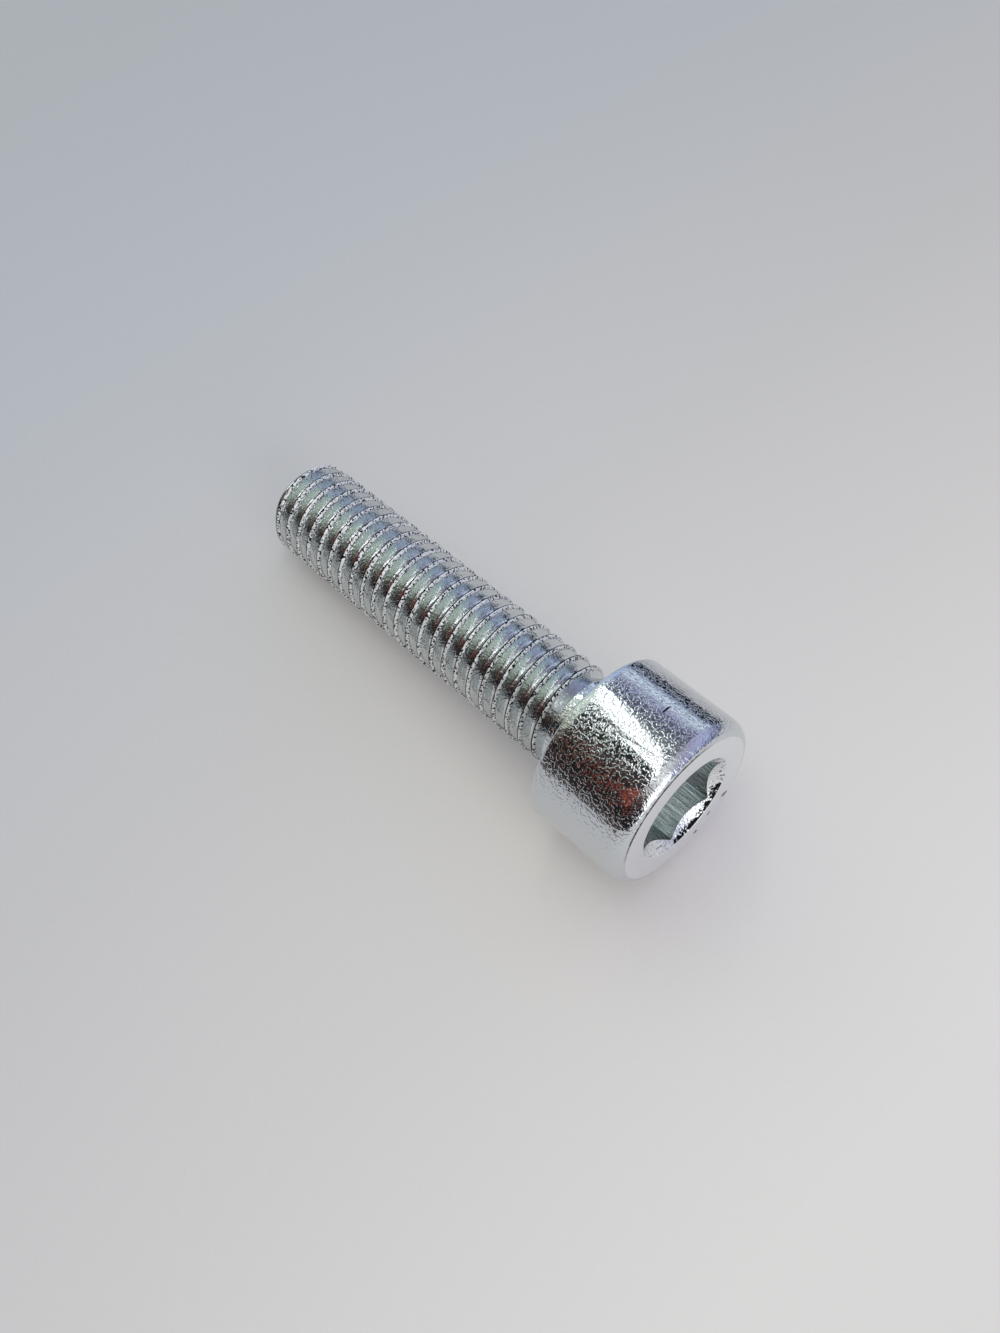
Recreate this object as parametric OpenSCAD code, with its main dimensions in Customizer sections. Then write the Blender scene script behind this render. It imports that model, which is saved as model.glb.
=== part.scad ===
/* Hex socket head cap screw, M6 x 1 x 25, fully threaded, lying at rest.
   Millimetres, +Z up. The screw's axis runs along +X towards the head, and its head end is a little raised,
   because the screw rests on the rim of its head and on a thread crest near its tip.
   The origin is on the resting plane, under the middle of the lying screw. */

/* [Thread] */
// Diameter over the crests
thread_d = 5.9; // [5.6:0.05:6.4]
// Distance from one crest to the next
thread_pitch = 1; // [0.75:0.05:1.25]
// Length from the bearing face to the tip
shank_length = 25; // [10:0.5:40]
// Length of the 45 degree chamfer at the tip
tip_chamfer = 0.8; // [0.4:0.1:1.2]
// Turn of the thread about the screw's axis, in degrees
thread_turn = 27; // [0:9:351]
// Facets in one turn of the thread
thread_facets = 40; // [24:8:48]

/* [Neck] */
// Diameter of the plain neck between the thread and the head
neck_d = 5.5; // [5.2:0.05:5.55]
// Length of the plain neck
neck_length = 1.35; // [0.8:0.05:4]
// Length over which the thread rises out of the neck
thread_runout = 0.8; // [0.5:0.1:2]
// Radius of the fillet where the neck meets the head
neck_fillet_r = 0.3; // [0.1:0.05:0.5]

/* [Head] */
// Diameter of the head
head_d = 10; // [8.5:0.1:12]
// Height of the head
head_height = 6; // [5:0.1:8]
// Rounding between the side and the top face
top_edge_r = 0.7; // [0.3:0.05:0.9]
// Rounding between the side and the bearing face
bearing_edge_r = 0.2; // [0.1:0.05:0.5]

/* [Socket] */
// Width of the hexagon across its flats
socket_af = 5; // [4:0.1:5.5]
// Depth of the hexagon's walls at their corners
socket_depth = 3.3; // [2.5:0.1:4]
// Diameter of the 90 degree countersink at the mouth
countersink_d = 6.05; // [5.8:0.05:6.5]
// Full angle of the cone that closes the socket
socket_point_angle = 120; // [100:5:150]
// Turn of the hexagon about the screw's axis, in degrees
socket_turn = 47.5; // [0:0.5:60]

/* [Hidden] */
$fn = 96;
// How far a cutting solid runs past the face it cuts
overcut = 0.5;
// How far one solid sinks into the one it is fused with
overlap = 0.1;
// Step down from the neck to the thread's run-out, too small to see
runout_step = 0.02;
// Turn of the turned surfaces' seam. It is on top, clear of where the head rests, and a little to one side,
// so that the facets of the meshed head rest steadily.
seam_turn = 179.6;

// Metric thread form: 60 degree flanks, and a crest an eighth of a pitch wide
flank_angle = 60;
depth_per_pitch = 0.6134;
crest_per_pitch = 1 / 8;
thread_depth = depth_per_pitch * thread_pitch;
thread_crest = crest_per_pitch * thread_pitch;
flank_run = thread_depth * tan(flank_angle / 2);

thread_r = thread_d / 2;
root_r = thread_r - thread_depth;
neck_r = neck_d / 2;
runout_r = neck_r - runout_step;
head_r = head_d / 2;
countersink_r = countersink_d / 2;
socket_corner_r = socket_af / 2 / cos(30);
socket_floor = head_height - socket_depth;

// Corners of one tooth of the thread, as [distance along the axis, radius]
tooth = [
    [0, root_r],
    [flank_run, thread_r],
    [flank_run + thread_crest, thread_r],
    [2 * flank_run + thread_crest, root_r]
];

// The lying screw touches the plane at the head's lower rim and at the first full crest from the tip
crest_middle = flank_run + thread_crest / 2 - thread_pitch * thread_turn / 360;
crests_in_chamfer = ceil((tip_chamfer - crest_middle) / thread_pitch);
support_z = -shank_length + crest_middle + thread_pitch * crests_in_chamfer;
rim_run = bearing_edge_r - support_z;
rim_rise = head_r - bearing_edge_r - thread_r;
lying_tilt = atan2(rim_rise, rim_run) + asin(bearing_edge_r / norm([rim_rise, rim_run]));

// Where the lying screw starts, ends and bottoms out, before it is moved to the origin
tip_r = thread_r - tip_chamfer;
lying_start = -shank_length * cos(lying_tilt) - tip_r * sin(lying_tilt);
lying_end = (head_height - top_edge_r) * cos(lying_tilt) + (head_r - top_edge_r) * sin(lying_tilt) + top_edge_r;
lying_bottom = bearing_edge_r * sin(lying_tilt) - (head_r - bearing_edge_r) * cos(lying_tilt) - bearing_edge_r;

// The thread as one closed mesh: a helical tooth with its root, chamfered at the tip and run out into the neck.
// It starts a pitch below the tip and ends inside the neck. Its facets meet half a facet to each side of
// angle 0, so the screw rests on the middle of one, and none meet on the turned surfaces' seam.
module thread_helix() {
    turns = ceil((shank_length - neck_length) / thread_pitch) + 2;
    steps = turns * thread_facets;
    last_corner = len(tooth) - 1;
    start_z = -shank_length - thread_pitch;

    // The largest and the smallest radius that the chamfer and the run-out leave at a height
    function crest_limit(z) = lookup(z, [
        [-shank_length, tip_r], [-shank_length + tip_chamfer, thread_r],
        [-neck_length - thread_runout, thread_r], [-neck_length, runout_r]
    ]);
    function root_limit(z) = lookup(z, [
        [-neck_length - thread_runout, root_r], [-neck_length, runout_r]
    ]);
    function tooth_point(step, corner) =
        let (
            turn = (step + 0.5) / thread_facets,
            z = start_z + thread_pitch * turn + tooth[corner].x,
            r = min(max(tooth[corner].y, root_limit(z)), crest_limit(z))
        )
        [r * cos(360 * turn), r * sin(360 * turn), z];
    function index(step, corner) = 1 + step * len(tooth) + corner;
    // Two triangles between one edge line of the helix and the next
    function strip(low_step, low_corner, high_step, high_corner) = [
        [index(low_step, low_corner), index(high_step, high_corner), index(low_step + 1, low_corner)],
        [index(low_step + 1, low_corner), index(high_step, high_corner), index(high_step + 1, high_corner)]
    ];

    points = [
        [0, 0, start_z + thread_pitch / 2],
        for (step = [0:steps], corner = [0:last_corner]) tooth_point(step, corner),
        [0, 0, start_z + (turns + 0.5) * thread_pitch]
    ];
    start_point = 0;
    end_point = len(points) - 1;
    last_turn = steps - thread_facets;

    faces = [
        // Flanks and crest
        for (step = [0:steps - 1], corner = [0:last_corner - 1]) each strip(step, corner, step, corner + 1),
        // Root, from one turn to the next
        for (step = [0:last_turn - 1]) each strip(step, last_corner, step + thread_facets, 0),
        // Cap at the start
        for (step = [0:thread_facets - 1]) [start_point, index(step, 0), index(step + 1, 0)],
        [start_point, index(thread_facets, 0), index(0, last_corner)],
        for (corner = [last_corner:-1:1]) [start_point, index(0, corner), index(0, corner - 1)],
        // Cap at the end
        for (step = [last_turn:steps - 1]) [end_point, index(step + 1, last_corner), index(step, last_corner)],
        [end_point, index(last_turn, last_corner), index(steps, 0)],
        for (corner = [0:last_corner - 1]) [end_point, index(steps, corner), index(steps, corner + 1)]
    ];
    polyhedron(points, faces);
}

module shank() {
    cut_width = thread_d + 2 * overcut;
    cut_depth = 2 * thread_pitch;
    color("lightsteelblue") difference() {
        thread_helix();
        translate([-cut_width / 2, -cut_width / 2, -shank_length - cut_depth])
            cube([cut_width, cut_width, cut_depth]);
    }
}

// What a quarter round takes off the corner of a profile, with the corner at the upper right
module corner_waste(r) {
    translate([-r, -r]) difference() {
        square(r + overcut);
        circle(r);
    }
}

module neck() {
    color("lightsteelblue") rotate_extrude() {
        polygon([
            [0, overlap],
            [neck_r, overlap],
            [neck_r, -neck_length],
            [0, -neck_length]
        ]);
        // Fillet under the head
        translate([neck_r, -neck_fillet_r]) difference() {
            square(neck_fillet_r);
            translate([neck_fillet_r, 0]) circle(neck_fillet_r);
        }
    }
}

module head() {
    color("silver") rotate_extrude() difference() {
        square([head_r, head_height]);
        translate([head_r, head_height]) corner_waste(top_edge_r);
        translate([head_r, 0]) mirror([0, 1]) corner_waste(bearing_edge_r);
    }
}

// The hexagon that a punch leaves: flat walls, a conical floor and a countersunk mouth
module socket() {
    punch_r = socket_corner_r + overcut;
    point_slope = 1 / tan(socket_point_angle / 2);
    point_depth = socket_corner_r * point_slope;
    color("gray") {
        intersection() {
            translate([0, 0, socket_floor - point_depth])
                cylinder(h = socket_depth + point_depth + overcut, r = socket_corner_r, $fn = 6);
            translate([0, 0, socket_floor]) rotate_extrude() polygon([
                [0, -point_depth],
                [punch_r, overcut * point_slope],
                [punch_r, socket_depth + 2 * overcut],
                [0, socket_depth + 2 * overcut]
            ]);
        }
        translate([0, 0, head_height - countersink_r])
            cylinder(h = countersink_r + overcut, r1 = 0, r2 = countersink_r + overcut);
    }
}

// Head, socket and neck, with the bearing face at z = 0 and the head above it
module blank() {
    difference() {
        rotate(seam_turn) {
            neck();
            head();
        }
        rotate(socket_turn) socket();
    }
}

module cap_screw() {
    translate([-(lying_start + lying_end) / 2, 0, -lying_bottom])
        rotate([0, 90 - lying_tilt, 0]) {
            blank();
            rotate(thread_turn) shank();
        }
}

cap_screw();
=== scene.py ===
import math
import bpy
from mathutils import Matrix, Quaternion, Vector


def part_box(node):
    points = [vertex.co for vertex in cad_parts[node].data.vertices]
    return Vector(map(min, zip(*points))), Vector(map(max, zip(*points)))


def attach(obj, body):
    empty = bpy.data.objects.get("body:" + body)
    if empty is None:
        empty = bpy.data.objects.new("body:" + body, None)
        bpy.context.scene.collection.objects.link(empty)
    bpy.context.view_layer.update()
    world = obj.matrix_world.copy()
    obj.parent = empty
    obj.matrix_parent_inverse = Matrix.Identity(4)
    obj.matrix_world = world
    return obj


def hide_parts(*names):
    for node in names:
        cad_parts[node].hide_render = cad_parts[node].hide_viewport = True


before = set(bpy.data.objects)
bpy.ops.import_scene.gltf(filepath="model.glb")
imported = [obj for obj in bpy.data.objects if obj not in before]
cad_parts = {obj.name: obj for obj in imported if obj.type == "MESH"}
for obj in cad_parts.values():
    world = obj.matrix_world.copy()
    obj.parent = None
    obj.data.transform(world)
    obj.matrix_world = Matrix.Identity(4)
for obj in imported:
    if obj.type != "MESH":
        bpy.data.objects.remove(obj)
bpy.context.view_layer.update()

mm = 0.001

# Cap screw, M6 x 1 x 25. While it is made it stands upright about Z, with its bearing face at z = 0,
# its head above and its tip below. Sizes are in millimetres and angles in degrees.
screw = {
    "headRadius": 4.997,           # a hair inside the solids' facets
    "headHeight": 6.0,
    "topRound": (0.60, 0.92),      # how far the top rounding reaches in from the side, and down from the face
    "bearingRound": 0.2,
    "neckRadius": 2.75,
    "neckLength": 1.35,
    "neckFillet": 0.3,
    "runout": 0.8,
    "runoutStep": 0.02,
    "threadRadius": 2.95,
    "threadDepth": 0.6134,
    "pitch": 1.0,
    "length": 24.99,
    "tipChamfer": 0.8,
    "flankShare": 0.354,           # shares of the pitch that a flank and the crest take
    "crestShare": 0.125,
    "threadTurn": 27.0,
    "acrossFlats": 5.0,
    "socketDepth": 3.3,
    "socketPointAngle": 120,
    "socketCornerRound": 0.12,
    "countersinkRadius": 3.025,
    "rimRound": 0.10,
    "socketTurn": 47.5,
    "lyingTilt": 4.9128,           # how far the head end is raised, lying on its rim and a crest
}
detail = {
    "headSegments": 288,
    "threadSteps": 120,            # steps in one turn of the thread
    "punchSegments": 96,
    "cornerSegments": 4,
    "filletSteps": 6,
    "topSteps": 14,
    "rimSteps": 4,
    "smoothAngle": 32,
    "overlap": 0.5,                # how far fused shapes run into each other
    "clearance": 0.01,             # how far a cutting shape stays off what it leaves whole
    "coreGap": 0.02,               # between the thread's root and the core inside it
    "stepRise": 0.03,              # from the run-out's end up to the neck
}


def linearColour(code):
    parts = [int(code[i:i + 2], 16) / 255 for i in (1, 3, 5)]
    return tuple(c / 12.92 if c <= 0.04045 else ((c + 0.055) / 1.055) ** 2.4 for c in parts) + (1.0,)


def addNode(tree, kind, options={}, values={}, links={}):
    node = tree.nodes.new(kind)
    for option, value in options.items():
        setattr(node, option, value)
    for socket, value in values.items():
        node.inputs[socket].default_value = value
    for socket, source in links.items():
        tree.links.new(source, node.inputs[socket])
    return node


def deselectAll():
    if bpy.context.object and bpy.context.object.mode != "OBJECT":
        bpy.ops.object.mode_set(mode="OBJECT")
    bpy.ops.object.select_all(action="DESELECT")


def makeActive(piece):
    deselectAll()
    piece.select_set(True)
    bpy.context.view_layer.objects.active = piece


def drawProfile(name, points):
    # A chain of edges in the XZ plane, extruded point by point; points are (radius, height)
    deselectAll()
    bpy.ops.mesh.primitive_plane_add(size=mm)
    piece = bpy.context.object
    piece.name = name
    bpy.ops.object.mode_set(mode="EDIT")
    bpy.ops.mesh.select_mode(type="VERT")
    bpy.ops.mesh.select_all(action="SELECT")
    bpy.ops.mesh.merge(type="CENTER")
    at = (0, 0)
    for i, point in enumerate(points):
        step = ((point[0] - at[0]) * mm, 0, (point[1] - at[1]) * mm)
        if i == 0:
            bpy.ops.transform.translate(value=step)
        else:
            bpy.ops.mesh.extrude_region_move(TRANSFORM_OT_translate={"value": step})
        at = point
    bpy.ops.object.mode_set(mode="OBJECT")
    return piece


def applyModifier(piece, kind, **settings):
    makeActive(piece)
    bpy.ops.object.modifier_add(type=kind)
    modifier = piece.modifiers[-1]
    for key, value in settings.items():
        setattr(modifier, key, value)
    bpy.ops.object.modifier_apply(modifier=modifier.name)


def closeMesh(piece, distance=1e-7):
    makeActive(piece)
    bpy.ops.object.mode_set(mode="EDIT")
    bpy.ops.mesh.select_all(action="SELECT")
    bpy.ops.mesh.remove_doubles(threshold=distance)
    bpy.ops.mesh.normals_make_consistent(inside=False)
    bpy.ops.object.mode_set(mode="OBJECT")


def turnProfile(name, points, segments):
    piece = drawProfile(name, points)
    applyModifier(piece, "SCREW", angle=2 * math.pi, screw_offset=0, steps=segments, render_steps=segments,
                  axis="Z", use_merge_vertices=True, merge_threshold=1e-7)
    closeMesh(piece)
    return piece


def combine(piece, other, operation):
    applyModifier(piece, "BOOLEAN", operation=operation, object=other, solver="MANIFOLD")
    deselectAll()
    other.select_set(True)
    bpy.ops.object.delete()


def arc(centre, reach, start, end, steps):
    # Points on an ellipse about centre, from angle start to end in degrees
    for i in range(steps + 1):
        angle = math.radians(start + (end - start) * i / steps)
        yield (centre[0] + reach[0] * math.cos(angle), centre[1] + reach[1] * math.sin(angle))


def threadProfile():
    # One pitch of the rolled thread from root to root, as (share of the pitch, rise in mm). The crest has
    # two lips, with a fold nearer the tip side.
    points = [
        (0.000, -0.006),
        (0.090, 0.022),
        (0.140, 0.070),
        (0.185, 0.140),
        (0.405, 0.538),
        (0.424, 0.586),
        (0.438, 0.600),
        (0.452, 0.576),
        (0.464, 0.566),
        (0.478, 0.598),
        (0.500, 0.6134),
        (0.545, 0.6134),
        (0.572, 0.591),
        (0.595, 0.538),
        (0.815, 0.140),
        (0.860, 0.070),
        (0.910, 0.022),
        (1.000, -0.006),
    ]
    root = screw["threadRadius"] - screw["threadDepth"]
    return [(root + rise, share * screw["pitch"]) for share, rise in points]


def crestStart():
    # Height of a crest's middle at angle 0
    middle = screw["flankShare"] + screw["crestShare"] / 2 - screw["threadTurn"] / 360
    return screw["pitch"] * middle - screw["length"]


def makeThread():
    pitch = screw["pitch"]
    turns = math.ceil((screw["length"] - screw["neckLength"]) / pitch) + 2
    piece = drawProfile("threadedShank", threadProfile())
    applyModifier(piece, "SCREW", angle=2 * math.pi, screw_offset=pitch * mm, iterations=turns - 1,
                  steps=detail["threadSteps"], render_steps=detail["threadSteps"], axis="Z")
    closeMesh(piece, 1e-6)
    # Each open end runs once round the helix; its rim is extruded in place and drawn in to the axis
    top = max(v.co.z for v in piece.data.vertices)
    for atTop in (False, True):
        makeActive(piece)
        bpy.ops.object.mode_set(mode="EDIT")
        bpy.ops.mesh.select_mode(type="VERT")
        bpy.ops.mesh.select_all(action="DESELECT")
        bpy.ops.mesh.select_non_manifold()
        bpy.ops.object.mode_set(mode="OBJECT")
        for point in piece.data.vertices:
            point.select = point.select and (point.co.z > top / 2) == atTop
        for edge in piece.data.edges:
            edge.select = all(piece.data.vertices[i].select for i in edge.vertices)
        bpy.ops.object.mode_set(mode="EDIT")
        bpy.ops.mesh.extrude_region_move(TRANSFORM_OT_translate={"value": (0, 0, 0)})
        bpy.ops.mesh.merge(type="CENTER")
        bpy.ops.object.mode_set(mode="OBJECT")
    closeMesh(piece)
    # It starts below the tip, and its crests pass angle 0 where the solids' crests do
    piece.location.z = (crestStart() - 2 * pitch + 0.5 * pitch) * mm
    bpy.ops.object.transform_apply(location=True, rotation=False, scale=False)
    return piece


def makeEnvelope():
    # What the tip's chamfer and the run-out under the neck leave of the thread
    radius = screw["threadRadius"] + detail["clearance"]
    neck = screw["neckRadius"] - screw["runoutStep"]
    points = [
        (0, -screw["length"]),
        (screw["threadRadius"] - screw["tipChamfer"], -screw["length"]),
        (radius, -screw["length"] + screw["tipChamfer"] + detail["clearance"]),
        (radius, -screw["neckLength"] - screw["runout"]),
        (neck, -screw["neckLength"]),
        (neck, -screw["neckLength"] + detail["overlap"]),
        (0, -screw["neckLength"] + detail["overlap"]),
    ]
    return turnProfile("threadEnvelope", points, detail["headSegments"])


def makeBlank():
    # Head, neck and the core under the run-out, turned in one
    core = screw["threadRadius"] - screw["threadDepth"] - detail["coreGap"]
    coreEnd = -screw["neckLength"] - screw["runout"]
    head, height = screw["headRadius"], screw["headHeight"]
    bearing, fillet, neck = screw["bearingRound"], screw["neckFillet"], screw["neckRadius"]
    reachIn, reachDown = screw["topRound"]
    rim, rimRound = screw["countersinkRadius"], screw["rimRound"]
    rimCentre = rim + rimRound * 1.414             # a little outside the cone's edge, which widens the mouth
    # Rings that divide the long straight stretches and keep their faces short
    bearingRings, sideRings = (3.4, 4.1), (0.6, 1.4, 2.2, 3.0, 3.8, 4.6)
    faceRings, coneRing = (3.9, 3.5), 2.2
    points = [
        (0, coreEnd - detail["overlap"]),
        (core, coreEnd - detail["overlap"]),
        (core, coreEnd),
        (neck - screw["runoutStep"], -screw["neckLength"]),
        (neck, -screw["neckLength"] + detail["stepRise"]),
    ]
    points += list(arc((neck + fillet, -fillet), (fillet, fillet), 180, 90, detail["filletSteps"]))
    points += [(radius, 0) for radius in bearingRings]
    points += list(arc((head - bearing, bearing), (bearing, bearing), -90, 0, detail["filletSteps"]))
    points += [(head, z) for z in sideRings]
    points += list(arc((head - reachIn, height - reachDown), (reachIn, reachDown), 0, 90, detail["topSteps"]))
    points += [(radius, height) for radius in faceRings]
    points += list(arc((rimCentre, height - rimRound), (rimRound, rimRound), 90, 135, detail["rimSteps"]))
    points += [(coneRing, height - (rim - coneRing)), (0, height - rim)]
    return turnProfile("capScrew", points, detail["headSegments"])


def makeSocketPunch():
    # The hexagon that the punch leaves, with slightly rounded corners and a conical end
    corner = screw["acrossFlats"] / 2 / math.cos(math.radians(30))
    floor = screw["headHeight"] - screw["socketDepth"]
    slope = math.tan(math.radians(90 - screw["socketPointAngle"] / 2))
    drop = corner * slope
    over = 1                       # how far the hexagon runs past the face
    deselectAll()
    height = screw["socketDepth"] + drop + over
    bpy.ops.mesh.primitive_cylinder_add(vertices=6, radius=corner * mm, depth=height * mm,
                                        location=(0, 0, (floor - drop + height / 2) * mm))
    punch = bpy.context.object
    bpy.ops.object.transform_apply(location=True, rotation=True, scale=True)
    first = punch.data.vertices[0].co
    punch.rotation_euler.z = math.radians(screw["socketTurn"] - math.degrees(math.atan2(first.y, first.x)))
    bpy.ops.object.transform_apply(location=False, rotation=True, scale=False)
    bpy.ops.object.mode_set(mode="EDIT")
    bpy.ops.mesh.select_all(action="DESELECT")
    bpy.ops.object.mode_set(mode="OBJECT")
    for edge in punch.data.edges:
        a, b = (punch.data.vertices[i].co for i in edge.vertices)
        edge.select = abs(a.z - b.z) > screw["socketDepth"] / 2 * mm       # the upright edges
    bpy.ops.object.mode_set(mode="EDIT")
    bpy.ops.mesh.select_mode(type="EDGE")
    bpy.ops.mesh.bevel(offset=screw["socketCornerRound"] * mm, segments=detail["cornerSegments"],
                       affect="EDGES")
    bpy.ops.object.mode_set(mode="OBJECT")
    cone = [
        (0, floor - drop),
        (corner + detail["overlap"], floor + detail["overlap"] * slope),
        (corner + detail["overlap"], screw["headHeight"] + 2 * over),
        (0, screw["headHeight"] + 2 * over),
    ]
    combine(punch, turnProfile("punchCone", cone, detail["punchSegments"]), "INTERSECT")
    return punch


blank = makeBlank()
print("turned blank:", len(blank.data.polygons), "faces")
combine(blank, makeSocketPunch(), "DIFFERENCE")
print("punched socket:", len(blank.data.polygons), "faces")
thread = makeThread()
print("rolled thread:", len(thread.data.polygons), "faces")
combine(thread, makeEnvelope(), "INTERSECT")
print("chamfered thread:", len(thread.data.polygons), "faces")
combine(blank, thread, "UNION")
capScrew = blank
print("whole screw:", len(capScrew.data.polygons), "faces")


def layDown(piece):
    # Turned to lie with its head end raised, then slid to where the solids lie
    makeActive(piece)
    piece.rotation_euler = (0, math.radians(90 - screw["lyingTilt"]), 0)
    bpy.ops.object.transform_apply(location=False, rotation=True, scale=False)
    low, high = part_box("cap_screw")
    points = [v.co for v in piece.data.vertices]
    # The head reaches furthest along X and lowest along Z in both
    place = Vector((high[0] - max(p.x for p in points), 0, low[2] - min(p.z for p in points)))
    piece.location = place
    bpy.ops.object.transform_apply(location=True, rotation=False, scale=False)
    return place


# Bright zinc plate over steel, clear passivated: a pale bluish metal, mirror bright, whose fine grain
# breaks every reflection into glints. Grains and lines are coarser than the real ones, so that they show.
zinc = {
    "side": {                      # the blank's own skin, tumbled: glossy, with crinkled pits
        "colour": "#D8DCE0",
        "roughness": 0.06,
        "grain": 0.19,             # mm from one crinkle to the next
        "grainDepth": 0.0095,
        "crinkle": (0.42, 0.58),   # share of the noise that is a slope; the rest is flat, and mirrors cleanly
        "waves": 0.9,              # mm across the shallow hollows that the blank keeps
        "waveDepth": 0.004,
        # the colour of the scratches, and of the dark reflection painted round the face
        "darkColour": "#15171B",
        "edgeLine": (4.49, 0.05),  # outer radius of a ragged dark line painted round the pressed face as a dark reflection, and how far it fades
        "edgeBand": 0.5,           # mm below the face in which that painted dark line can be
        "edgeWander": 0.20,
        "edgeTowards": (-0.85, -0.53, 0),      # the side towards which that painted dark reflection shows
        "edgeFade": (2.6, 3.8),    # mm towards that side over which it appears
        "scratches": [((-4.92, 0.88, 3.39), (-4.75, 1.56, 3.36), 0.11)],     # (start, end, width)
    },
    "face": {                      # pressed flat by the die: slightly matt, so it mirrors softly
        "colour": "#F0F2F4",
        "roughness": 0.28,
        "grain": 0.25,
        "grainDepth": 0.004,
        "darkColour": "#3C3E44",
        "scratches": [
            ((2.66, 3.0, 6), (2.64, 3.48, 6), 0.3),
            ((3.36, 1.96, 6), (3.09, 2.17, 6), 0.16),
            ((3.93, 0.94, 6), (3.92, 1.24, 6), 0.24),
        ],
        "scratchDepth": 0.05,
    },
    "socket": {                    # drawn along by the punch: fine lines, under a thin and greenish plate
        "colour": "#DFE5E3",
        "roughness": 0.16,
        "lineColours": ("#CCD8D5", "#FFFFFF"),
        "lineShares": (0.38, 0.62),            # share of the noise at which each colour is reached
        "drawLine": 0.15,          # mm from one line to the next
        "lineLength": 4.0,
        "lineDepth": 0.020,
        "lineSlope": (0.3, 0.7),
    },
    "chamfer": {                   # torn by the punch: bright, with dark blotches painted on its broken outer part as dark reflections
        "colour": "#F4F6F6",
        "roughness": 0.12,
        "grain": 0.16,
        "grainDepth": 0.045,
        # the colour of the painted dark reflections
        "darkColour": "#191A1C",
        "blotch": 0.2,             # mm from one dark blotch to the next
        "blotchEdge": (0.68, 0.74),
        "torn": (2.72, 2.98),      # radii between which the blotches grow
        "blotchShare": 0.30,         # how much more of the painted dark blotches the outer part gets
        "blotchTowards": (0.87, 0.5, 0),         # the side on which the painted dark blotches are strongest
        "blotchFade": (2.1, 2.45),   # mm towards that side over which the blotches grow
        "blotchLeast": 0.3,          # share of it on the other side
    },
    "thread": {                    # rolled: burnished flanks, and rough crests with a painted highlight on their pale lips and painted shade in their fold
        "colour": "#D3D8DA",
        "roughness": 0.12,
        "grain": 0.17,
        "grainDepth": 0.007,
        "crinkle": (0.38, 0.60),
        # white of the crest's lips: a pale torn lip, brightened as a painted highlight
        "lipHighlightColour": "#FDFEFE",
        "lipMetallic": 0.45,       # torn and matt, so it scatters white; with its white colour it is also a painted highlight
        # near black in the crest's fold: painted shade
        "foldShadeColour": "#16181A",
        "lips": (0.35, 0.41),      # shares of the pitch between which the first lip lies, and then the fold;
        "shadedFold": (0.42, 0.49),      # the second lip runs from there to the crest's end
        "crestEnd": 0.63,
        "lipEdge": 0.01,
        "crestFade": 0.02,
        "nick": 0.16,              # mm from one crest nick to the next
        "nickDepth": 0.070,
        "ragged": 0.10,            # share of a pitch by which lips and fold wander
        # dark specks painted on the crests as dark reflections
        "specksPerNick": 1.3,
        "speckEdge": (0.53, 0.58),
    },
}
# How the edges of scratches and of the lip round the face fray
ragged = {
    "scratch": 0.07,               # mm from one notch to the next
    "edge": 0.16,
    "scratchEdge": (1.6, 1.3),     # in half sizes of a scratch, where it fades out and where it is full
}


def newMaterial(name):
    material = bpy.data.materials.new(name)
    material.use_nodes = True
    material.node_tree.nodes.clear()
    return material, material.node_tree


def screwPlace(tree, place):
    # Points in the screw's own frame: Z runs along its axis, with 0 at the bearing face
    coordinates = addNode(tree, "ShaderNodeTexCoord")
    turn = (0, math.radians(90 - screw["lyingTilt"]), 0)
    return addNode(tree, "ShaderNodeMapping", {"vector_type": "TEXTURE"}, {"Location": place, "Rotation": turn},
                   {"Vector": coordinates.outputs["Object"]})


def pitted(tree, spot, spacing, depth, detailLevel=2.0, under=None, slope=(0.0, 1.0)):
    # A noise bump whose pits stand about this many millimetres apart
    noise = addNode(tree, "ShaderNodeTexNoise", values={"Scale": 1 / (spacing * mm), "Detail": detailLevel,
                    "Roughness": 0.6, "Distortion": 0.4}, links={"Vector": spot.outputs[0]})
    height = addNode(tree, "ShaderNodeMapRange", {"interpolation_type": "SMOOTHSTEP"},
                     {"From Min": slope[0], "From Max": slope[1]}, {"Value": noise.outputs["Fac"]})
    links = {"Height": height.outputs["Result"]}
    if under:
        links["Normal"] = under.outputs["Normal"]
    return addNode(tree, "ShaderNodeBump", values={"Strength": 1.0, "Distance": depth * mm}, links=links)


def metalOutput(tree, finish, bump, colour, metallic=None):
    links = {"Normal": bump.outputs["Normal"], "Base Color": colour}
    if metallic:
        links["Metallic"] = metallic
    shader = addNode(tree, "ShaderNodeBsdfPrincipled",
                     values={"Metallic": 1.0, "Roughness": finish["roughness"]}, links=links)
    addNode(tree, "ShaderNodeOutputMaterial", links={"Surface": shader.outputs["BSDF"]})


def screwRadius(tree, spot):
    # Distance from the screw's axis
    across = addNode(tree, "ShaderNodeVectorMath", {"operation": "MULTIPLY"}, {1: (1, 1, 0)},
                     {0: spot.outputs[0]})
    radius = addNode(tree, "ShaderNodeVectorMath", {"operation": "LENGTH"}, {}, {0: across.outputs[0]})
    return radius.outputs["Value"]


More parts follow.
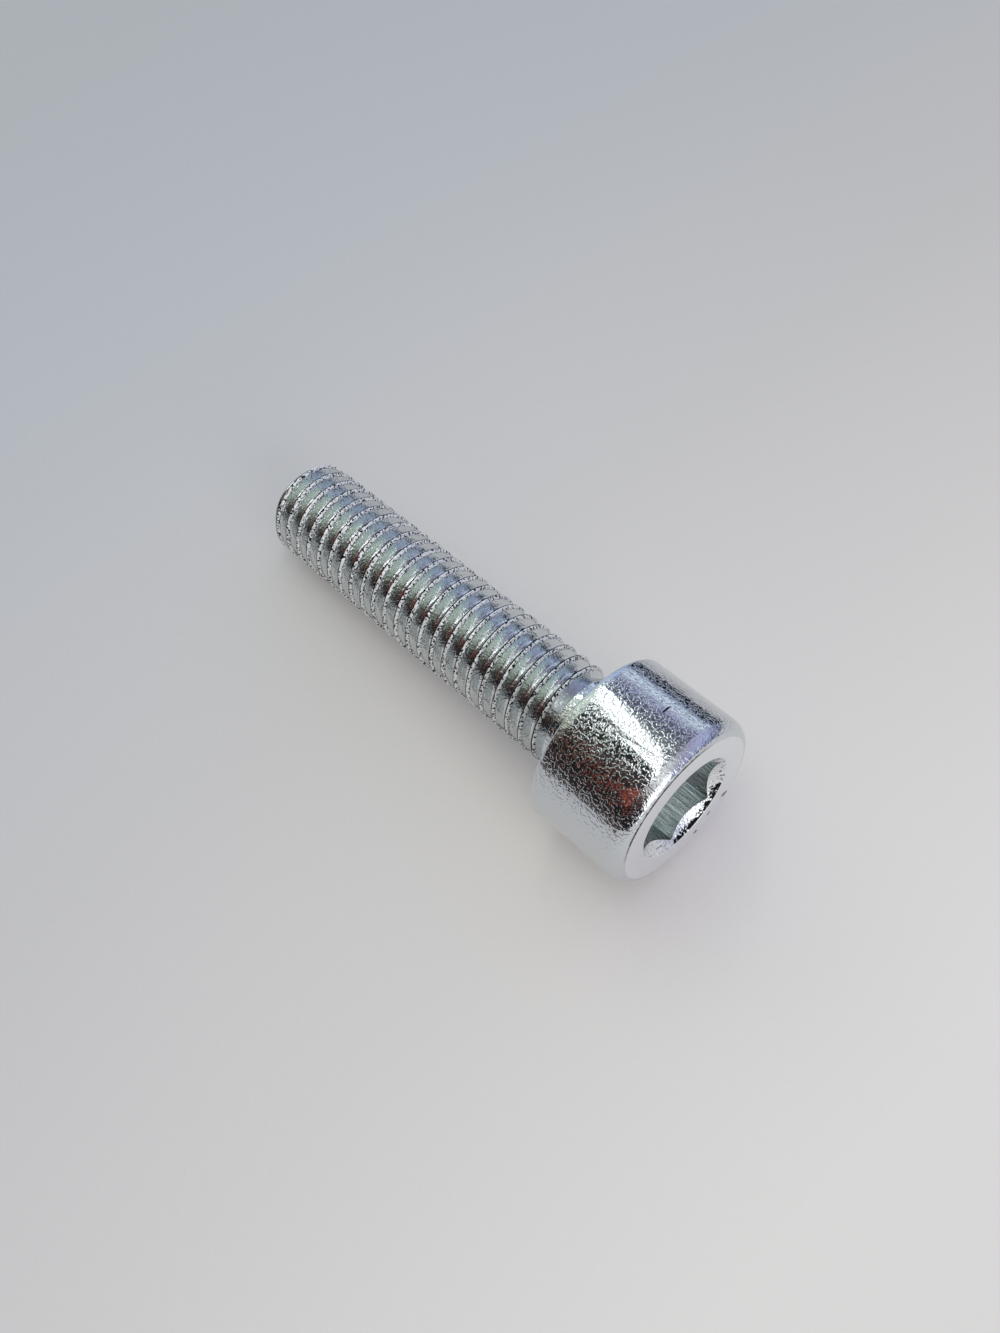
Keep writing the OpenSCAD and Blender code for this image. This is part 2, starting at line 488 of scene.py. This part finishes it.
def scratched(tree, spot, finish, dark):
    # Each scratch is (start, end, width), and is added to the dark share so far
    noise = addNode(tree, "ShaderNodeTexNoise", values={"Scale": 1 / (ragged["scratch"] * mm), "Detail": 1.0},
                    links={"Vector": spot.outputs[0]})
    none, full = ragged["scratchEdge"]
    for start, end, width in finish["scratches"]:
        start, end = Vector(start), Vector(end)
        here = addNode(tree, "ShaderNodeMapping", {"vector_type": "TEXTURE"}, {
            "Location": (start + end) / 2 * mm,
            "Rotation": (end - start).to_track_quat("Z", "Y").to_euler(),
            "Scale": Vector((width / 2, width / 2, (end - start).length / 2)) * mm,
        }, {"Vector": spot.outputs[0]})
        away = addNode(tree, "ShaderNodeVectorMath", {"operation": "LENGTH"}, {}, {0: here.outputs[0]})
        frayed = addNode(tree, "ShaderNodeMath", {"operation": "ADD"}, {},
                         {0: away.outputs["Value"], 1: noise.outputs["Fac"]})
        score = addNode(tree, "ShaderNodeMapRange", {}, {"From Min": none, "From Max": full},
                        {"Value": frayed.outputs[0]}).outputs["Result"]
        if dark is None:
            dark = score
        else:
            dark = addNode(tree, "ShaderNodeMath", {"operation": "MAXIMUM"}, {}, {0: dark, 1: score}).outputs[0]
    return dark


def darkened(tree, finish, dark):
    pale, deep = linearColour(finish["colour"]), linearColour(finish["darkColour"])
    mix = addNode(tree, "ShaderNodeMix", {"data_type": "RGBA"}, {6: pale, 7: deep}, {"Factor": dark})
    return mix.outputs[2]


def zincSide(place):
    # Pits over shallow hollows, up to a ragged dark line painted round the pressed face as a dark reflection
    finish = zinc["side"]
    material, tree = newMaterial("tumbledZincPlate")
    spot = screwPlace(tree, place)
    waves = pitted(tree, spot, finish["waves"], finish["waveDepth"], 1.0)
    # A ragged dark line round the pressed face, painted as a dark reflection and strongest towards one side
    noise = addNode(tree, "ShaderNodeTexNoise", values={"Scale": 1 / (ragged["edge"] * mm), "Detail": 2.0},
                    links={"Vector": spot.outputs[0]})
    wander = finish["edgeWander"] * mm
    shift = addNode(tree, "ShaderNodeMath", {"operation": "MULTIPLY_ADD"}, {1: wander, 2: -wander / 2},
                    {0: noise.outputs["Fac"]})
    radius = addNode(tree, "ShaderNodeMath", {"operation": "ADD"}, {},
                     {0: screwRadius(tree, spot), 1: shift.outputs[0]})
    edge, width = finish["edgeLine"]
    lip = addNode(tree, "ShaderNodeMapRange", {}, {"From Min": (edge + width) * mm, "From Max": edge * mm},
                  {"Value": radius.outputs[0]})
    parts = addNode(tree, "ShaderNodeSeparateXYZ", links={"Vector": spot.outputs[0]})
    front = addNode(tree, "ShaderNodeMath", {"operation": "GREATER_THAN"},
                    {1: (screw["headHeight"] - finish["edgeBand"]) * mm}, {0: parts.outputs["Z"]})
    line = addNode(tree, "ShaderNodeMath", {"operation": "MULTIPLY"}, {},
                   {0: lip.outputs["Result"], 1: front.outputs[0]})
    reach = addNode(tree, "ShaderNodeVectorMath", {"operation": "DOT_PRODUCT"}, {1: finish["edgeTowards"]},
                    {0: spot.outputs[0]})
    near, far = finish["edgeFade"]
    fade = addNode(tree, "ShaderNodeMapRange", {}, {"From Min": near * mm, "From Max": far * mm},
                   {"Value": reach.outputs["Value"]})
    faded = addNode(tree, "ShaderNodeMath", {"operation": "MULTIPLY"}, {},
                    {0: line.outputs[0], 1: fade.outputs["Result"]})
    dark = scratched(tree, spot, finish, faded.outputs[0])
    grain = pitted(tree, spot, finish["grain"], finish["grainDepth"], 1.5, waves, finish["crinkle"])
    metalOutput(tree, finish, grain, darkened(tree, finish, dark))
    return material


def zincFace(place):
    finish = zinc["face"]
    material, tree = newMaterial("pressedZincFace")
    spot = screwPlace(tree, place)
    dark = scratched(tree, spot, finish, None)
    dents = addNode(tree, "ShaderNodeBump", {"invert": True},
                    {"Strength": 1.0, "Distance": finish["scratchDepth"] * mm}, {"Height": dark})
    grain = pitted(tree, spot, finish["grain"], finish["grainDepth"], 2.0, dents)
    metalOutput(tree, finish, grain, darkened(tree, finish, dark))
    return material


def zincSocket(place):
    finish = zinc["socket"]
    material, tree = newMaterial("punchedZincSocket")
    spot = screwPlace(tree, place)
    squeezed = addNode(tree, "ShaderNodeVectorMath", {"operation": "MULTIPLY"},
                       {1: (1, 1, finish["drawLine"] / finish["lineLength"])}, {0: spot.outputs[0]})
    lines = addNode(tree, "ShaderNodeTexNoise", values={"Scale": 1 / (finish["drawLine"] * mm), "Detail": 1.0},
                    links={"Vector": squeezed.outputs[0]})
    shade = addNode(tree, "ShaderNodeValToRGB", links={"Fac": lines.outputs["Fac"]})
    paintRamp(shade, list(zip(finish["lineShares"], map(linearColour, finish["lineColours"]))))
    grooves = pitted(tree, squeezed, finish["drawLine"], finish["lineDepth"], 1.0, None, finish["lineSlope"])
    metalOutput(tree, finish, grooves, shade.outputs["Color"])
    return material


def zincChamfer(place):
    finish = zinc["chamfer"]
    material, tree = newMaterial("smearedZincChamfer")
    spot = screwPlace(tree, place)
    # Dark blotches painted as dark reflections, growing towards the outer edge and towards one side
    inner, outer = finish["torn"]
    worn = addNode(tree, "ShaderNodeMapRange", {},
                   {"From Min": inner * mm, "From Max": outer * mm, "To Max": finish["blotchShare"]},
                   {"Value": screwRadius(tree, spot)})
    blotches = addNode(tree, "ShaderNodeTexNoise", values={"Scale": 1 / (finish["blotch"] * mm), "Detail": 2.0},
                       links={"Vector": spot.outputs[0]})
    reach = addNode(tree, "ShaderNodeVectorMath", {"operation": "DOT_PRODUCT"}, {1: finish["blotchTowards"]},
                    {0: spot.outputs[0]})
    near, far = finish["blotchFade"]
    fade = addNode(tree, "ShaderNodeMapRange", {},
                   {"From Min": near * mm, "From Max": far * mm, "To Min": finish["blotchLeast"]},
                   {"Value": reach.outputs["Value"]})
    share = addNode(tree, "ShaderNodeMath", {"operation": "MULTIPLY"}, {},
                    {0: worn.outputs["Result"], 1: fade.outputs["Result"]})
    both = addNode(tree, "ShaderNodeMath", {"operation": "ADD"}, {},
                   {0: share.outputs[0], 1: blotches.outputs["Fac"]})
    pale, deep = finish["blotchEdge"]
    dark = addNode(tree, "ShaderNodeMapRange", {}, {"From Min": pale, "From Max": deep},
                   {"Value": both.outputs[0]})
    grain = pitted(tree, spot, finish["grain"], finish["grainDepth"])
    metalOutput(tree, finish, grain, darkened(tree, finish, dark.outputs["Result"]))
    return material


def zincThread(place):
    # The place across one pitch is 0 in the root and 0.5 on the crest
    finish = zinc["thread"]
    material, tree = newMaterial("rolledZincThread")
    spot = screwPlace(tree, place)
    parts = addNode(tree, "ShaderNodeSeparateXYZ", links={"Vector": spot.outputs[0]})
    angle = addNode(tree, "ShaderNodeMath", {"operation": "ARCTAN2"}, {},
                    {0: parts.outputs["Y"], 1: parts.outputs["X"]})
    turn = addNode(tree, "ShaderNodeMath", {"operation": "DIVIDE"}, {1: 2 * math.pi}, {0: angle.outputs[0]})
    along = addNode(tree, "ShaderNodeMath", {"operation": "MULTIPLY_ADD"},
                    {1: 1 / (screw["pitch"] * mm), 2: 0.5 - crestStart() / screw["pitch"]},
                    {0: parts.outputs["Z"]})
    helix = addNode(tree, "ShaderNodeMath", {"operation": "SUBTRACT"}, {},
                    {0: along.outputs[0], 1: turn.outputs[0]})
    share = addNode(tree, "ShaderNodeMath", {"operation": "FRACT"}, {}, {0: helix.outputs[0]})
    # Nicks make the lips and the fold wander; dark specks, painted as dark reflections, darken some of the
    # lips' length
    nicks = addNode(tree, "ShaderNodeTexNoise", values={"Scale": 1 / (finish["nick"] * mm), "Detail": 2.0,
                    "Roughness": 0.65}, links={"Vector": spot.outputs[0]})
    shift = addNode(tree, "ShaderNodeMath", {"operation": "MULTIPLY_ADD"},
                    {1: finish["ragged"], 2: -finish["ragged"] / 2}, {0: nicks.outputs["Fac"]})
    worn = addNode(tree, "ShaderNodeMath", {"operation": "ADD"}, {},
                   {0: share.outputs[0], 1: shift.outputs[0]})
    plain, lip, shadedFold = (linearColour(finish[key]) for key in ("colour", "lipHighlightColour", "foldShadeColour"))
    (lipStart, lipEnd), (foldStart, foldEnd) = finish["lips"], finish["shadedFold"]
    crestEnd, edge, fade = finish["crestEnd"], finish["lipEdge"], finish["crestFade"]
    # The lips are painted white as a painted highlight, and the fold near black as painted shade
    ramp = addNode(tree, "ShaderNodeValToRGB", links={"Fac": worn.outputs[0]})
    paintRamp(ramp, [
        (lipStart - edge, plain), (lipStart, lip), (lipEnd, lip), (foldStart, shadedFold), (foldEnd, shadedFold),
        (foldEnd + edge, lip), (crestEnd, lip), (crestEnd + fade, plain),
    ])
    crest = addNode(tree, "ShaderNodeValToRGB", links={"Fac": worn.outputs[0]})
    black, white = (0, 0, 0, 1), (1, 1, 1, 1)
    paintRamp(crest, [(lipStart - edge, black), (lipStart, white), (crestEnd, white), (crestEnd + fade, black)])
    deep = addNode(tree, "ShaderNodeMath", {"operation": "MULTIPLY"}, {},
                   {0: nicks.outputs["Fac"], 1: crest.outputs["Color"]})
    nicked = addNode(tree, "ShaderNodeBump", values={"Strength": 1.0, "Distance": finish["nickDepth"] * mm},
                     links={"Height": deep.outputs[0]})
    speckScale = finish["specksPerNick"] / (finish["nick"] * mm)
    specks = addNode(tree, "ShaderNodeTexNoise", values={"Scale": speckScale, "Detail": 1.0},
                     links={"Vector": spot.outputs[0]})
    unspecked, fullySpecked = finish["speckEdge"]
    paintedSpecks = addNode(tree, "ShaderNodeMapRange", {}, {"From Min": unspecked, "From Max": fullySpecked},
                   {"Value": specks.outputs["Fac"]})
    dark = addNode(tree, "ShaderNodeMath", {"operation": "MULTIPLY"}, {},
                   {0: paintedSpecks.outputs["Result"], 1: crest.outputs["Color"]})
    speckled = addNode(tree, "ShaderNodeMix", {"data_type": "RGBA"}, {7: shadedFold},
                       {"Factor": dark.outputs[0], 6: ramp.outputs["Color"]})
    torn = addNode(tree, "ShaderNodeMapRange", {}, {"To Min": 1.0, "To Max": finish["lipMetallic"]},
                   {"Value": crest.outputs["Color"]})
    grain = pitted(tree, spot, finish["grain"], finish["grainDepth"], 1.5, nicked, finish["crinkle"])
    metalOutput(tree, finish, grain, speckled.outputs[2], torn.outputs["Result"])
    return material


def paintRamp(ramp, stops):
    elements = ramp.color_ramp.elements
    elements[1].position = 1.0
    elements[0].position = stops[0][0]
    elements[0].color = stops[0][1]
    elements.remove(elements[1])
    for position, colour in stops[1:]:
        elements.new(position).color = colour


# Where one finish gives way to the next, in millimetres, and how steep a wall and a flat are
border = {
    "socketEnd": 2,                # the cone reaches no further below the socket's walls
    "rimSlack": 0.02,
    "chamferDepth": 0.7,
    "wallSlope": 0.3,
    "faceBand": 0.5,
    "flatSlope": 0.999,
    "rimBand": 0.3,
    "tipSlack": 0.01,
}
finishes = {
    "side": zincSide,
    "face": zincFace,
    "socket": zincSocket,
    "chamfer": zincChamfer,
    "thread": zincThread,
}


def finishOf(face):
    # Which finish a face has, by its place while the screw stands upright
    centre = face.center / mm
    across = math.hypot(centre.x, centre.y)
    top, rim = screw["headHeight"], screw["countersinkRadius"]
    if centre.z > top - screw["socketDepth"] - border["socketEnd"] and across < rim + border["rimSlack"]:
        isWall = abs(face.normal.z) < border["wallSlope"] or centre.z < top - border["chamferDepth"]
        return "socket" if isWall else "chamfer"
    isFlat = face.normal.z > border["flatSlope"] or across < rim + border["rimBand"]
    isTip = centre.z < -screw["length"] + border["tipSlack"]
    if isTip or (isFlat and centre.z > top - border["faceBand"]):
        return "face"
    return "thread" if centre.z < -screw["neckLength"] else "side"


chosen = [finishOf(face) for face in capScrew.data.polygons]
place = layDown(capScrew)
makeActive(capScrew)
bpy.ops.object.shade_smooth_by_angle(angle=math.radians(detail["smoothAngle"]))
capScrew.data.materials.clear()
for makeFinish in finishes.values():
    capScrew.data.materials.append(makeFinish(place))
for face, name in zip(capScrew.data.polygons, chosen):
    face.material_index = list(finishes).index(name)
print("zinc plate applied:", {name: chosen.count(name) for name in finishes}, "faces of each finish")
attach(capScrew, "root")
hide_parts("cap_screw")

# A sheet of matt paper on a desk, with the lamps' fall-off painted into its colour: bluish and darker far from
# the lamps, warm and lighter near them
paper = {
    "size": 900,
    # (mm along X, colour) of that painted fall-off, from the far end to the near one
    "paintedFalloff": [
        (-73, "#B3B5B8"), (-39, "#B6B8BC"), (-22, "#BBBABC"), (-5, "#C1BEBE"), (12, "#CBC7C6"), (32, "#DAD6D3"),
    ],
    "shadeReach": 100,             # mm to each side of the middle that the painted fall-off can span
    "glow": 0.30,                  # share of its own colour that it keeps where a lamp is shaded
    "roughness": 0.9,
    "specular": 0.2,
    "fibre": 0.9,                  # mm from one fibre to the next, coarser than the real ones so that they show
    "fibreDepth": 0.02,
}
deselectAll()
bpy.ops.mesh.primitive_plane_add(size=paper["size"] * mm)
sheet = bpy.context.object
sheet.name = "paperSheet"
material, tree = newMaterial("mattPaper")
spot = addNode(tree, "ShaderNodeTexCoord")
parts = addNode(tree, "ShaderNodeSeparateXYZ", links={"Vector": spot.outputs["Object"]})
span = paper["shadeReach"]
reach = addNode(tree, "ShaderNodeMapRange", {}, {"From Min": -span * mm, "From Max": span * mm},
                {"Value": parts.outputs["X"]})
shade = addNode(tree, "ShaderNodeValToRGB", links={"Fac": reach.outputs["Result"]})
paintRamp(shade, [((x + span) / (2 * span), linearColour(code)) for x, code in paper["paintedFalloff"]])
# The paper glows with its painted colour for the camera and for reflections, as painted light that keeps
# shadows on it faint
path = addNode(tree, "ShaderNodeLightPath")
seen = addNode(tree, "ShaderNodeMath", {"operation": "MAXIMUM"}, {},
               {0: path.outputs["Is Camera Ray"], 1: path.outputs["Is Glossy Ray"]})
glow = addNode(tree, "ShaderNodeMath", {"operation": "MULTIPLY"}, {1: paper["glow"]}, {0: seen.outputs[0]})
centred = addNode(tree, "ShaderNodeMapping", links={"Vector": spot.outputs["Object"]})
fibre = pitted(tree, centred, paper["fibre"], paper["fibreDepth"], 3.0)
shader = addNode(tree, "ShaderNodeBsdfPrincipled",
                 values={"Roughness": paper["roughness"], "Specular IOR Level": paper["specular"]},
                 links={"Base Color": shade.outputs["Color"], "Emission Color": shade.outputs["Color"],
                        "Emission Strength": glow.outputs[0], "Normal": fibre.outputs["Normal"]})
addNode(tree, "ShaderNodeOutputMaterial", links={"Surface": shader.outputs["BSDF"]})
sheet.data.materials.append(material)
print("paper laid under the screw")

# The room, as bands round the screw's axis. Each band is (degrees from straight up towards -Y, colour).
# Past the tip there is a pale wall, and past the head the same things stand that the card below shows.
room = {
    "tipEnd": [
        (-121, "#E9EAF1"), (-96, "#CBD1E0"), (-77, "#B2C6F4"), (-51, "#BBCDF2"), (-35, "#C6D8E0"),
        (-19, "#CFE0D8"), (-6, "#E2F0DE"), (23, "#E2F0DE"), (32, "#CDD1BE"), (43, "#999E8E"), (51, "#66675E"),
        (60, "#3F3C39"), (73, "#3F3C39"), (85, "#78746F"), (97, "#C1BDB9"), (106, "#F0EFF0"),
    ],
    "headEnd": [
        (-110, "#C4C8D4"), (-98, "#8E93A8"), (-88, "#4A4F6A"), (-76, "#8A92B4"), (-66, "#BAC3EB"),
        (-46, "#BABADA"), (-25, "#A09EB5"), (-8, "#D0D3D4"), (13, "#FFFFFF"), (26, "#F4F4F2"), (38, "#9A908E"),
        (50, "#524241"), (62, "#3E3233"), (78, "#22191C"), (90, "#2E2C2D"), (100, "#5A5859"), (110, "#C0C0C0"),
    ],
    "change": (-0.08, 0.04),       # where along the axis one set of bands gives way to the other
    "backdrop": "#C6C8CC",
}


def makeRoom():
    world = bpy.data.worlds.new("room")
    bpy.context.scene.world = world
    world.use_nodes = True
    tree = world.node_tree
    tree.nodes.clear()
    ray = addNode(tree, "ShaderNodeTexCoord")
    turned = addNode(tree, "ShaderNodeMapping", {"vector_type": "POINT"},
                     {"Rotation": (0, math.radians(screw["lyingTilt"]), 0)},
                     {"Vector": ray.outputs["Generated"]})
    parts = addNode(tree, "ShaderNodeSeparateXYZ", links={"Vector": turned.outputs[0]})
    across = addNode(tree, "ShaderNodeMath", {"operation": "MULTIPLY"}, {1: -1.0}, {0: parts.outputs["Y"]})
    angle = addNode(tree, "ShaderNodeMath", {"operation": "ARCTAN2"}, {},
                    {0: across.outputs[0], 1: parts.outputs["Z"]})
    share = addNode(tree, "ShaderNodeMapRange", {}, {"From Min": -math.pi, "From Max": math.pi},
                    {"Value": angle.outputs[0]})
    bands = []
    for name in ("tipEnd", "headEnd"):
        ramp = addNode(tree, "ShaderNodeValToRGB", links={"Fac": share.outputs["Result"]})
        paintRamp(ramp, [((turn + 180) / 360, linearColour(code)) for turn, code in room[name]])
        bands.append(ramp.outputs["Color"])
    change = addNode(tree, "ShaderNodeMapRange", {"interpolation_type": "SMOOTHSTEP"},
                     {"From Min": room["change"][0], "From Max": room["change"][1]},
                     {"Value": parts.outputs["X"]})
    walls = addNode(tree, "ShaderNodeMix", {"data_type": "RGBA"}, {},
                    {"Factor": change.outputs["Result"], 6: bands[0], 7: bands[1]})
    path = addNode(tree, "ShaderNodeLightPath")
    mix = addNode(tree, "ShaderNodeMix", {"data_type": "RGBA"}, {7: linearColour(room["backdrop"])},
                  {"Factor": path.outputs["Is Camera Ray"], 6: walls.outputs[2]})
    back = addNode(tree, "ShaderNodeBackground", values={"Strength": 1.0}, links={"Color": mix.outputs[2]})
    addNode(tree, "ShaderNodeOutputWorld", links={"Surface": back.outputs["Background"]})


makeRoom()

# A half-round card over the head, of the kind that gives a bright metal something to mirror. Only reflections
# see it. Its bands are the ones that the head's side shows, from the desk's far edge over to the near one.
card = {
    "radius": 60,
    "height": 9,                   # mm from the desk to the middle of the half-round
    "from": -24,                   # mm along the screw's axis from the middle of the desk
    "to": 12,
    "lift": 0.5,                   # mm by which its edges stay off the desk
    "segments": 96,
    "bands": [
        (-99, "#1A2034"), (-81, "#12182A"), (-77, "#8E9CC0"), (-74, "#DCECFF"), (-64, "#E6F4FF"),
        (-57, "#B0B1D0"), (-50, "#807E9A"), (-43, "#66647C"), (-32, "#5A5E68"), (-22, "#7C8483"),
        (-4, "#5C6161"), (8, "#44474B"), (20, "#2C2B2F"), (35, "#3F4041"), (43, "#363636"), (51, "#242322"),
        (80, "#242322"), (88, "#2E2B2B"), (96, "#605C5B"),
    ],
    # A warm patch at (mm along, degrees), with its size and the shares of it where its edge starts and ends
    "warm": {"at": (-0.5, 55), "size": (18, 29), "edge": (0.85, 1.1), "colour": "#A84E40"},
    # Two narrow lamps under it, each from and to (mm along, degrees)
    "streaks": [
        {"from": (-23, -28), "to": (-11, 0), "width": 9.0, "radiance": 2.8},
        {"from": (-11, 3), "to": (16, 20), "width": 14.0, "radiance": 2.4},
    ],
    "lampGap": 3,
    "lampTarget": 12,              # mm along X to the middle of the head, which the lamps face
}


def onCard(along, turn, radius):
    # A point over the head's axis, turned from straight up towards -Y
    angle = math.radians(turn)
    return Vector((along, -radius * math.sin(angle), radius * math.cos(angle) + card["height"])) * mm


def makeCard():
    deselectAll()
    length, height = card["to"] - card["from"], card["height"]
    bpy.ops.mesh.primitive_cylinder_add(
        vertices=card["segments"], radius=card["radius"] * mm, depth=length * mm, end_fill_type="NOTHING",
        location=((card["from"] + length / 2) * mm, 0, height * mm), rotation=(0, math.pi / 2, 0))
    piece = bpy.context.object
    piece.name = "mirroredCard"
    bpy.ops.object.transform_apply(location=True, rotation=True, scale=True)
    bpy.ops.object.mode_set(mode="EDIT")
    bpy.ops.mesh.select_all(action="SELECT")
    bpy.ops.mesh.bisect(plane_co=(0, 0, card["lift"] * mm), plane_no=(0, 0, 1), clear_inner=True)
    bpy.ops.object.mode_set(mode="OBJECT")
    for ray in ("camera", "diffuse", "transmission", "volume_scatter", "shadow"):
        setattr(piece, "visible_" + ray, False)
    material, tree = newMaterial("mirroredCard")
    spot = addNode(tree, "ShaderNodeTexCoord")
    parts = addNode(tree, "ShaderNodeSeparateXYZ", links={"Vector": spot.outputs["Object"]})
    across = addNode(tree, "ShaderNodeMath", {"operation": "MULTIPLY"}, {1: -1.0}, {0: parts.outputs["Y"]})
    rise = addNode(tree, "ShaderNodeMath", {"operation": "SUBTRACT"}, {1: height * mm}, {0: parts.outputs["Z"]})
    angle = addNode(tree, "ShaderNodeMath", {"operation": "ARCTAN2"}, {},
                    {0: across.outputs[0], 1: rise.outputs[0]})
    share = addNode(tree, "ShaderNodeMapRange", {}, {"From Min": -math.pi, "From Max": math.pi},
                    {"Value": angle.outputs[0]})
    ramp = addNode(tree, "ShaderNodeValToRGB", links={"Fac": share.outputs["Result"]})
    paintRamp(ramp, [((turn + 180) / 360, linearColour(code)) for turn, code in card["bands"]])
    warm = card["warm"]
    offset = addNode(tree, "ShaderNodeCombineXYZ", links={"X": parts.outputs["X"], "Y": angle.outputs[0]})
    centred = addNode(tree, "ShaderNodeMapping", {"vector_type": "TEXTURE"}, {
        "Location": (warm["at"][0] * mm, math.radians(warm["at"][1]), 0),
        "Scale": (warm["size"][0] / 2 * mm, math.radians(warm["size"][1] / 2), 1),
    }, {"Vector": offset.outputs[0]})
    away = addNode(tree, "ShaderNodeVectorMath", {"operation": "LENGTH"}, {}, {0: centred.outputs[0]})
    patch = addNode(tree, "ShaderNodeMapRange", {"interpolation_type": "SMOOTHSTEP"},
                    {"From Min": warm["edge"][1], "From Max": warm["edge"][0]},
                    {"Value": away.outputs["Value"]})
    mix = addNode(tree, "ShaderNodeMix", {"data_type": "RGBA"}, {7: linearColour(warm["colour"])},
                  {"Factor": patch.outputs["Result"], 6: ramp.outputs["Color"]})
    glow = addNode(tree, "ShaderNodeEmission", values={"Strength": 1.0}, links={"Color": mix.outputs[2]})
    addNode(tree, "ShaderNodeOutputMaterial", links={"Surface": glow.outputs["Emission"]})
    piece.data.materials.append(material)


def addLamp(name, middle, length, towards, size, radiance, colour="#FFFFFF"):
    # length is the way that the lamp's long side runs, towards is the way back from what it lights
    towards = towards.normalized()
    side = towards.cross(length).normalized()
    length = side.cross(towards)
    deselectAll()
    bpy.ops.object.light_add(type="AREA", location=middle)
    light = bpy.context.object
    light.name = name
    light.rotation_euler = Matrix((length, side, towards)).transposed().to_euler()
    light.data.shape = "RECTANGLE"
    light.data.size, light.data.size_y = size[0] * mm, size[1] * mm
    light.data.color = linearColour(colour)[:3]
    light.data.energy = radiance * math.pi * light.data.size * light.data.size_y


makeCard()
target = Vector((card["lampTarget"], 0, card["height"])) * mm
for i, streak in enumerate(card["streaks"]):
    start, end = (onCard(*streak[key], card["radius"] - card["lampGap"]) for key in ("from", "to"))
    middle = (start + end) / 2
    addLamp("streakLamp%d" % (i + 1), middle, end - start, middle - target,
            ((end - start).length / mm, streak["width"]), streak["radiance"])

# The window past the head, a large soft lamp. A radiance of 1 is white.
window = {
    "towards": (0.90, -0.20, 0.34),
    "distance": 1200,
    "size": (700, 860),
    "radiance": 1.8,
    "colour": "#F8FAFF",
}
direction = Vector(window["towards"]).normalized()
addLamp("windowLamp", direction * window["distance"] * mm, Vector((0, 1, 0)), direction, window["size"],
        window["radiance"], window["colour"])
print("stage lit")

camera = {
    "at": (26.864, -22.586, 56.803),
    "forward": (-0.39484, 0.35857, -0.84589),
    "roll": -1.72,
    "lens": 30.60,
}
deselectAll()
aim = Vector(camera["forward"]).to_track_quat("-Z", "Y") @ Quaternion((0, 0, 1), math.radians(camera["roll"]))
bpy.ops.object.camera_add(location=Vector(camera["at"]) * mm, rotation=aim.to_euler())
view = bpy.context.object
view.data.lens = camera["lens"]
view.data.sensor_width = 36
view.data.clip_start = 0.005
view.data.clip_end = 10
bpy.context.scene.camera = view
bpy.context.scene.view_settings.view_transform = "Standard"
print("camera placed, its right side towards", tuple(round(c, 4) for c in aim @ Vector((1, 0, 0))))
